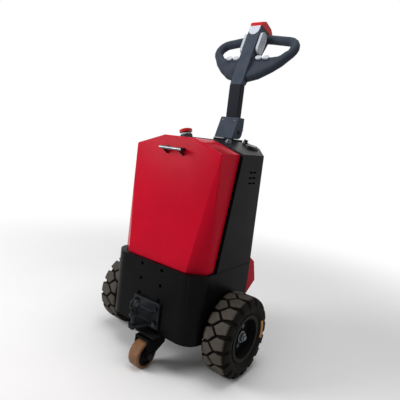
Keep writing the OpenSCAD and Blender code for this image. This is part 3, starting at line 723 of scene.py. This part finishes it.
@dataclass
class Hood(SubAssembly):
    """Lift-off hood of folded red sheet with its chromed handle."""

    body: str = "hood"
    fold_mm: float = 5.0
    edge_mm: float = 1.2
    stay_mm: float = 5.5
    stay_across_mm: float = 38.0
    stay_drop_mm: float = 19.0

    def add_stays(self) -> None:
        """Adds the two stays that carry the handle from below."""
        low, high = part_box("hood_grip_posts")
        height = (low.z + high.z) / 2
        radius = self.stay_mm * MM
        mesh = bmesh.new()
        for side in Side:
            across = side.sign * self.stay_across_mm * MM
            start = Vector((across, low.y, height))
            reach = Vector((across, high.y, height - self.stay_drop_mm * MM)) - start
            place = Matrix.Translation(start) @ reach.to_track_quat("Z", "Y").to_matrix().to_4x4()
            lathe(mesh, [(0, reach.length), (radius, reach.length), (radius, 0)], place)
        self.place("hood_grip_stays", mesh, BLACK_PC, "black_plastic")

    def dress(self) -> None:
        """Rounds the hood's folds, finishes its handle and adds the stays."""
        self.add_stays()
        self.soften("hood_shell", RED_COAT, "red_sheet", self.fold_mm, self.edge_mm)
        self.paint(CHROME, ["hood_grip"])
        self.paint(BLACK_PC, ["hood_grip_posts"])


@dataclass
class Chassis(SubAssembly):
    """Tub, tower, drive train, coupling and the controls on the tower's roof."""

    body: str = "chassis"
    fold_mm: float = 3.0
    edge_mm: float = 1.2
    coupling_edge_mm: float = 1.5
    boot_half_mm: float = 45.5
    boot_margin_mm: float = 8.0
    boot_rise_mm: float = 9.6
    block_round_mm: float = 0.75
    sheet_mm: float = 2.5
    flap_width_mm: float = 24.0
    flap_inset_mm: float = 1.0
    flap_height_mm: tuple[float, float] = (205.0, 313.0)
    cheek_reach_mm: float = 270.0
    cheek_lap_mm: float = 45.0
    cheek_inset_mm: float = 0.3
    seal_height_mm: float = 7.5
    seal_proud_mm: float = 0.5
    seal_end_mm: float = 2.0

    def add_block(self, name: str, low: Vector, high: Vector, finish: Finish, slot: str) -> None:
        """Adds a block with rounded edges.

        Args:
            name: Name of the piece.
            low: Lower corner.
            high: Upper corner.
            finish: Finish of the block.
            slot: Material slot of the record.
        """
        place = Matrix.Translation((low + high) / 2) @ Matrix.Diagonal((*(high - low), 1))
        mesh = bmesh.new()
        bmesh.ops.create_cube(mesh, size=1.0, matrix=place)
        self.bevel(mesh, mesh.edges[:], self.block_round_mm)
        self.place(name, mesh, finish, slot)

    def add_pair(self, name: str, low: Vector, high: Vector, finish: Finish, slot: str) -> None:
        """Adds a block to the right side of the machine and its mirror image to the left.

        Args:
            name: Name of the pieces, without the side.
            low: Lower corner of the right block.
            high: Upper corner of the right block.
            finish: Finish of the blocks.
            slot: Material slot of the record.
        """
        for side in Side:
            start, stop = sorted((side.sign * low.x, side.sign * high.x))
            corners = Vector((start, *low.yz)), Vector((stop, *high.yz))
            self.add_block(f"{name}_{side.value}", *corners, finish, slot)

    def add_boot(self) -> None:
        """Adds the low rubber boot that closes the gap round the tiller's foot."""
        low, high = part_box("tiller_mount")
        half, margin = self.boot_half_mm * MM, self.boot_margin_mm * MM
        self.add_block("tiller_boot", Vector((-half, low.y - margin, low.z)),
                       Vector((half, high.y + margin, low.z + self.boot_rise_mm * MM)),
                       BOOT_RUBBER, "black_plastic")

    def add_flaps(self) -> None:
        """Adds the folded plates that close the rear ends and the sides of the tub's wheel recesses."""
        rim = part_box("tub_shell")[1]
        rear, outer = rim.y - self.flap_inset_mm * MM, rim.x - self.flap_inset_mm * MM
        bottom, top = (z * MM for z in self.flap_height_mm)
        self.add_pair("recess_flap",
                      Vector((outer - self.flap_width_mm * MM, rear - self.sheet_mm * MM, bottom)),
                      Vector((outer, rear, top)), BLACK_COAT, "black_sheet")
        skin = rim.x - self.cheek_inset_mm * MM
        self.add_pair("recess_cheek",
                      Vector((skin - self.sheet_mm * MM, rear - self.cheek_reach_mm * MM, bottom)),
                      Vector((skin, rear, top + self.cheek_lap_mm * MM)), BLACK_COAT, "black_sheet")

    def add_seals(self) -> None:
        """Adds the rubber seals in the seams between the tub's rim and the tower's sides."""
        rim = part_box("tub_shell")[1]
        front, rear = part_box("tower_shell")[0].y + self.seal_end_mm * MM, rim.y - self.seal_end_mm * MM
        skin, rise = rim.x + self.seal_proud_mm * MM, self.seal_height_mm * MM / 2
        self.add_pair("rim_seal", Vector((skin - self.sheet_mm * MM, front, rim.z - rise)),
                      Vector((skin, rear, rim.z + rise)), BOOT_RUBBER, "black_plastic")

    def dress(self) -> None:
        """Rounds the sheet metal, finishes every node of the chassis and adds its plates and rubber."""
        self.soften("tub_shell", BLACK_COAT, "black_sheet", self.edge_mm, self.edge_mm)
        self.soften("tower_shell", BLACK_COAT, "black_sheet", self.fold_mm, self.edge_mm)
        self.soften("rear_cover", RED_COAT, "red_sheet", self.fold_mm, self.edge_mm)
        self.soften("coupling", RUBBED_COAT, "black_sheet", self.coupling_edge_mm, self.edge_mm)
        self.paint(CASTING, ["transaxle", "drive_motor", "caster_mount", "tiller_mount"])
        self.paint(TRAY_COAT, ["battery"])
        self.paint(PHOSPHATED, ["coupling_bolts"])
        self.paint(ZINC, ["key_switch"])
        self.paint(BLACK_PC, ["estop_base", "charge_gauge", "cable_gland"])
        # The lighter pale plastic of the collar is painted light.
        self.paint(LIT_PLATE_ABS, ["estop_collar"])
        self.paint(RED_ABS, ["estop_knob"])
        self.add_boot()
        self.add_flaps()
        self.add_seals()


@dataclass
class DriveWheel(SubAssembly):
    """Drive wheel with its tyre, dished rim, hub and nuts."""

    side: Side = Side.RIGHT
    # Washer, nut and the axle's own end
    axle_end: tuple[Turned, ...] = (Turned(22, -1, 3, 1), Turned(16, 2, 13, 2, steps=6), Turned(9, 2, 18, 1))
    stripe_r_mm: tuple[float, float] = (102.0, 112.0)
    stripe_deg: tuple[float, float] = (-15.0, 23.0)
    stripe_steps: int = 14
    stripe_rows: int = 5
    stripe_rise_mm: float = 0.6

    def outward(self) -> Vector:
        """Gives the direction that points out of the wheel."""
        return Vector((self.side.sign, 0, 0))

    def mould_tyre(self, rubber: Finish, low: Vector, high: Vector) -> Piece:
        """Stands a tyre with worn, rounded tread blocks in for the CAD tyre.

        Args:
            rubber: Finish of the tyre.
            low: Lower corner of the CAD tyre's box.
            high: Upper corner of the CAD tyre's box.

        Returns:
            The tyre.
        """
        size = (high - low) / MM
        mesh = Tread().mesh(size.z / 2, size.x / 2, (low + high) / 2, self.outward().x)
        node = f"tyre_{self.side.value}"
        piece = new_object(f"{node}_formed", mesh, rubber)
        for polygon in piece.data.polygons:
            polygon.use_smooth = True
        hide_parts(node)
        return self.add(piece)

    def add_axle_nut(self) -> None:
        """Adds the axle's nut with its washer on the end of the hub."""
        low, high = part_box(f"hub_{self.side.value}")
        end = (low + high) / 2
        end.x = high.x if self.side is Side.RIGHT else low.x
        place = Matrix.Translation(end) @ self.outward().to_track_quat("Z", "Y").to_matrix().to_4x4()
        mesh = bmesh.new()
        for turned in self.axle_end:
            turned.add_to(mesh, place)
        self.place(f"axle_nut_{self.side.value}", mesh, ZINC, "bright_steel")

    def add_stripe(self, tyre: Piece, middle: Vector) -> None:
        """Adds the plain stripe of paint on the sidewall, laid on the rubber.

        Args:
            tyre: Tyre in its place at rest.
            middle: Middle of the wheel.
        """
        out = self.outward()
        skin = bmesh.new()
        skin.from_mesh(tyre.data)
        rubber = BVHTree.FromBMesh(skin)
        skin.free()
        mesh = bmesh.new()
        rows: list[list[bmesh.types.BMVert]] = []
        radii = np.linspace(*self.stripe_r_mm, self.stripe_rows).tolist()
        for angle in np.radians(np.linspace(*self.stripe_deg, self.stripe_steps + 1)).tolist():
            arm = Vector((0, math.cos(angle), math.sin(angle)))
            hits = [rubber.ray_cast(middle + arm * r * MM + out, -out)[0] for r in radii]
            rows.append([mesh.verts.new(hit + out * self.stripe_rise_mm * MM) for hit in hits])
        for lower, upper in zip(rows, rows[1:]):
            for k in range(self.stripe_rows - 1):
                mesh.faces.new((lower[k], lower[k + 1], upper[k + 1], upper[k]))
        self.place(f"sidewall_stripe_{self.side.value}", mesh, MARK_PAINT, "tyre_rubber")

    def dress(self) -> None:
        """Finishes the wheel and adds its axle nut, and on the right the stripe."""
        name = self.side.value
        low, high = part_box(f"tyre_{name}")
        middle = (low + high) / 2
        self.add_axle_nut()
        rubber = replace(TYRE_RUBBER, name=f"tyre_rubber_{name}", axle=tuple(middle))
        tyre = self.mould_tyre(rubber, low, high)
        if self.side is Side.RIGHT:
            self.add_stripe(tyre, middle)
        self.paint(CASTING, [f"rim_{name}", f"hub_{name}"])
        self.paint(ZINC, [f"wheel_nuts_{name}"])


@dataclass
class Caster(SubAssembly):
    """Trailing caster: its fork and its wheel."""

    body: str = "caster_swivel"
    edge_mm: float = 1.0

    def dress(self) -> None:
        """Finishes the fork, the axle bolt and the wheel."""
        self.soften("caster_fork", BLACK_COAT, "black_sheet", self.edge_mm, self.edge_mm)
        self.paint(PHOSPHATED, ["caster_axle"])
        self.paint(CASTING, ["caster_core"])
        self.paint(POLYURETHANE, ["caster_tread"])


@dataclass
class TowPin(SubAssembly):
    """Drop pin of the coupling with its ring."""

    body: str = "tow_pin"

    def dress(self) -> None:
        """Finishes the pin and its ring."""
        self.paint(RUBBED_COAT, ["tow_pin", "tow_pin_ring"])


@dataclass
class Tiller(SubAssembly):
    """Tilting tiller: pivot cover, tube, head, loop handle and hand controls."""

    body: str = "tiller"
    moulding_mm: float = 3.0
    control_mm: float = 2.2
    screw_mm: float = 4.5
    screw_across_mm: float = 30.0
    screw_down_mm: float = 15.0
    # Pan head with a sunk drive, from the middle to the foot: radius and height as shares of the head's radius
    screw_profile: tuple[tuple[float, float], ...] = (
        (0, 0.18), (0.38, 0.18), (0.44, 0.5), (0.62, 0.48), (0.88, 0.34), (1, 0.12), (1, -0.05))
    # How far the pivot cover's front leans back over its height
    cover_lean_mm: tuple[float, float] = (36.0, 92.0)
    lean_deg: float = 21.3
    belly_mm: float = 13.0
    belly_depth_mm: float = 75.0
    belly_ends_mm: tuple[float, float] = (150.0, 207.0)
    belly_bins: int = 24

    def fill_wings(self, mesh: EditMesh) -> None:
        """Lets the lower edge of the loop's wings hang fuller, less towards the ends and the grip.

        Args:
            mesh: Mesh of the loop handle.
        """
        lean = math.radians(self.lean_deg)
        up = Vector((0, math.sin(lean), math.cos(lean)))
        across = np.array([abs(vert.co.x) for vert in mesh.verts]) / MM
        rise = np.array([vert.co.dot(up) for vert in mesh.verts]) / MM
        # The last bin ends a little past the widest point, so that this point falls into it.
        bin_of = np.digitize(across, np.linspace(0, across.max() + 1, self.belly_bins))
        lowest = np.array([rise[bin_of == k].min() for k in bin_of])
        near_edge = 1 - ramp(rise - lowest, 0, self.belly_depth_mm)
        sag = self.belly_mm * near_edge * (1 - ramp(across, *self.belly_ends_mm))
        for vert, drop in zip(mesh.verts, sag.tolist()):
            vert.co -= up * drop * MM

    def smooth_loop(self) -> None:
        """Stands a smoothly shaded copy with slightly fuller wings in for the loop handle's facets."""
        mesh = bmesh.new()
        mesh.from_mesh(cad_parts["loop_handle"].data)
        bmesh.ops.remove_doubles(mesh, verts=mesh.verts[:], dist=self.weld_mm * MM)
        self.fill_wings(mesh)
        # The loop's darker charcoal is painted shade.
        self.place("loop_handle_formed", mesh, LOOP_SHADED_ABS, "black_moulding", "loop_handle")

    def add_cover_screws(self) -> None:
        """Adds the two pan-head screws near the top of the pivot cover's front."""
        low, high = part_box("pivot_cover")
        back, rise = self.cover_lean_mm
        down = Vector((0, -back, -rise)).normalized()
        out = Vector((0, -rise, back)).normalized()
        top = Vector((0, low.y + back * MM, high.z)) + down * self.screw_down_mm * MM
        turn = out.to_track_quat("Z", "Y").to_matrix().to_4x4()
        head = self.screw_mm * MM
        profile = [(radius * head, height * head) for radius, height in self.screw_profile]
        mesh = bmesh.new()
        for side in Side:
            aside = Vector((side.sign * self.screw_across_mm * MM, 0, 0))
            lathe(mesh, profile, Matrix.Translation(top + aside) @ turn)
        self.place("pivot_cover_screws", mesh, ZINC, "bright_steel")

    def dress(self) -> None:
        """Rounds the mouldings, finishes the hand controls and adds the cover's screws."""
        mouldings = (("pivot_cover", CHARCOAL_ABS), ("tiller_tube", TUBE_COAT), ("tiller_head", CHARCOAL_ABS))
        for node, finish in mouldings:
            self.soften(node, finish, "black_moulding", self.moulding_mm, self.moulding_mm)
        self.soften("belly_switch", RED_ABS, "red_plastic", self.moulding_mm, self.moulding_mm)
        # The lighter pale plastic of the front plate is painted light.
        self.soften("head_plate", LIT_PLATE_ABS, "pale_plastic", self.control_mm, self.control_mm / 2)
        for side in Side:
            self.soften(f"paddle_{side.value}", PALE_ABS, "pale_plastic", self.control_mm, self.control_mm / 2,
                        Vector((side.sign, 0, 0)))
        self.smooth_loop()
        self.paint(PALE_ABS, ["head_buttons"])
        self.paint(CASTING, ["pivot_pin"])
        self.add_cover_screws()


# Studio


@dataclass
class Lamp:
    """Soft area lamp that looks at a point of the object."""

    name: str
    place: tuple[float, float, float]
    size: float
    watts: float
    target: tuple[float, float, float] = (0.0, 0.0, 0.6)

    def build(self) -> None:
        """Adds the lamp to the scene."""
        light = bpy.data.lights.new(self.name, "AREA")
        light.shape = "DISK"
        light.size = self.size
        light.energy = self.watts
        lamp = bpy.data.objects.new(self.name, light)
        lamp.location = self.place
        lamp.rotation_mode = "QUATERNION"
        lamp.rotation_quaternion = (Vector(self.target) - Vector(self.place)).to_track_quat("-Z", "Y")
        bpy.context.scene.collection.objects.link(lamp)


@dataclass
class Studio:
    """Camera at the photograph's angle, pale floor, white surround and soft lamps."""

    azimuth_deg: float = 37.527
    elevation_deg: float = 6.312
    roll_deg: float = 6.652
    focal_px: float = 393.37
    picture_px: float = 400.0
    sensor_mm: float = 36.0
    shift: tuple[float, float] = (0.01284, -0.04782)
    ahead_of_axle: tuple[float, float, float] = (0.9538, -1.2352, 0.8546)
    ambient: float = 0.3
    white: str = "#ffffff"
    floor_half: float = 14.0
    floor_cells: int = 8
    floor_near: float = 0.9
    floor_far: float = 2.4
    lamps: tuple[Lamp, ...] = (
        Lamp("key_lamp", (-2.4, -2.7, 1.9), 1.8, 92.0),
        Lamp("top_lamp", (0.2, -0.2, 3.4), 2.4, 55.0),
    )

    def build(self) -> None:
        """Sets up the camera, the surround, the floor and the lamps."""
        bpy.context.scene.view_settings.view_transform = "Standard"
        self.add_camera()
        self.add_surround()
        self.add_floor()
        for lamp in self.lamps:
            lamp.build()

    def add_camera(self) -> None:
        """Adds the camera; its place is measured from the drive axle."""
        low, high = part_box("tyre_right")
        azimuth, elevation, roll = map(math.radians, (self.azimuth_deg, self.elevation_deg, self.roll_deg))
        back = Vector((math.sin(azimuth) * math.cos(elevation), -math.cos(azimuth) * math.cos(elevation),
                       math.sin(elevation)))
        right = Vector((math.cos(azimuth), math.sin(azimuth), 0))
        up = back.cross(right)
        across = right * math.cos(roll) + up * math.sin(roll)
        upright = up * math.cos(roll) - right * math.sin(roll)
        lens = bpy.data.cameras.new("camera")
        lens.sensor_width = self.sensor_mm
        lens.lens = self.sensor_mm * self.focal_px / self.picture_px
        lens.shift_x, lens.shift_y = self.shift
        camera = bpy.data.objects.new("camera", lens)
        turn = Matrix((across, upright, back)).transposed().to_4x4()
        axle = Vector((0, (low.y + high.y) / 2, 0))
        camera.matrix_world = Matrix.Translation(axle + Vector(self.ahead_of_axle)) @ turn
        bpy.context.scene.collection.objects.link(camera)
        bpy.context.scene.camera = camera

    def seen_directly(self, tree: Tree) -> Socket:
        """Adds a mask that is one for rays from the camera, mirrors and glass.

        Args:
            tree: Tree of the world or of a material.

        Returns:
            Socket with the mask.
        """
        path = add_node(tree, "ShaderNodeLightPath")
        first = add_node(tree, "ShaderNodeMath", {"operation": "MAXIMUM"}, {
            0: path.outputs["Is Camera Ray"], 1: path.outputs["Is Glossy Ray"]})
        return add_node(tree, "ShaderNodeMath", {"operation": "MAXIMUM"}, {
            0: first.outputs[0], 1: path.outputs["Is Transmission Ray"]}).outputs[0]

    def add_surround(self) -> None:
        """Makes the world white to the eye and an even, softer light for the object."""
        world = bpy.data.worlds.new("studio")
        world.use_nodes = True
        bpy.context.scene.world = world
        tree = world.node_tree
        strength = add_node(tree, "ShaderNodeMapRange", inputs={
            "Value": self.seen_directly(tree), "To Min": self.ambient, "To Max": 1.0})
        tree.links.new(strength.outputs["Result"], tree.nodes["Background"].inputs["Strength"])
        tree.nodes["Background"].inputs["Color"].default_value = linear(self.white)

    def add_floor(self) -> None:
        """Adds a pale floor that turns white away from the object."""
        mesh = bmesh.new()
        bmesh.ops.create_grid(mesh, x_segments=self.floor_cells, y_segments=self.floor_cells,
                              size=self.floor_half)
        floor = new_object("floor", mesh, FLOOR_PAINT)
        tree = FLOOR_PAINT.material().node_tree
        surface = tree.nodes["Principled BSDF"]
        place = add_node(tree, "ShaderNodeTexCoord").outputs["Object"]
        reach = add_node(tree, "ShaderNodeVectorMath", {"operation": "LENGTH"}, {0: place}).outputs["Value"]
        fade = add_node(tree, "ShaderNodeMapRange", {"interpolation_type": "SMOOTHSTEP"}, {
            "Value": reach, "From Min": self.floor_near, "From Max": self.floor_far})
        share = add_node(tree, "ShaderNodeMath", {"operation": "MULTIPLY"}, {
            0: fade.outputs["Result"], 1: self.seen_directly(tree)})
        white = add_node(tree, "ShaderNodeEmission", inputs={"Color": linear(self.white), "Strength": 1.0})
        mixed = add_node(tree, "ShaderNodeMixShader", inputs={
            0: share.outputs[0], 1: surface.outputs["BSDF"], 2: white.outputs["Emission"]})
        tree.links.new(mixed.outputs["Shader"], tree.nodes["Material Output"].inputs["Surface"])


def main() -> None:
    """Builds the studio and dresses each sub-assembly in order."""
    logging.basicConfig(level=logging.INFO, format="%(message)s")
    Studio().build()
    Chassis().dress()
    Hood().dress()
    for side in Side:
        DriveWheel(body=f"drive_wheel_{side.value}", side=side).dress()
    Caster().dress()
    TowPin().dress()
    Tiller().dress()


if __name__ == "__main__":
    main()
